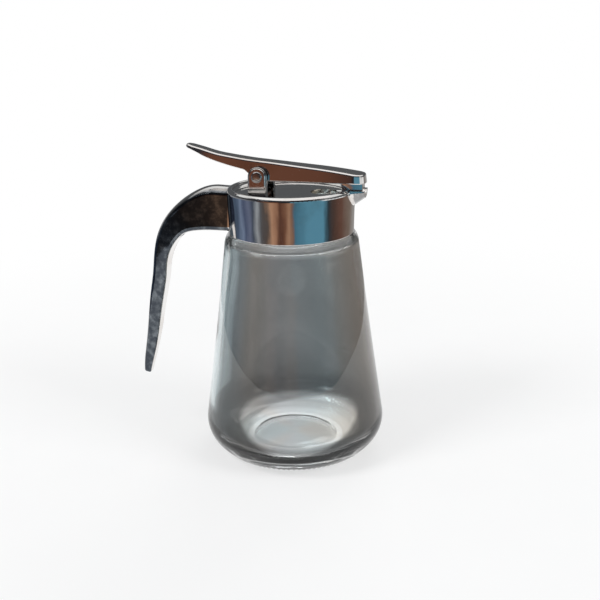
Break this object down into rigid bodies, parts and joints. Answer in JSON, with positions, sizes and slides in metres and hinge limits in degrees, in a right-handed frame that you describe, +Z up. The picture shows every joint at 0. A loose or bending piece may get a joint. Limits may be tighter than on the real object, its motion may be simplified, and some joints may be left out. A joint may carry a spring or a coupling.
{
  "type": "glass dispenser bottle",
  "caption": "Clear glass syrup bottle, a cone on a rounded foot, with a plated pouring top: collar, small beak, horn-shaped handle, and a thumb lever that lifts to pour.",
  "frame": {"origin": "centre of the foot, on the surface that the bottle stands on, on the jar's axis", "axes": "+Z up the jar's axis, +X to the pouring lip, -X to the handle, Y along the lever's pin"},
  "size_m": [0.119, 0.085, 0.145],
  "materials": {
    "clear_glass": "clear, polished",
    "plated_casting": "bright plated, polished",
    "plated_lever": "bright plated, polished",
    "pin_metal": "plated, worn at the end"
  },
  "bodies": {
    "dispenser": {"glass_jar": "clear_glass", "top_casting": "plated_casting", "hinge_pin": "pin_metal"},
    "lid_lever": {"lever": "plated_lever"}
  },
  "joints": [
    {"name": "lever_hinge", "type": "hinge", "parent": "dispenser", "child": "lid_lever", "pos_m": [-0.0134, 0, 0.1315], "axis": [0, -1, 0], "range_deg": [0, 30], "stiffness_Nm_per_rad": 0.05, "springref_deg": -34.38}
  ]
}
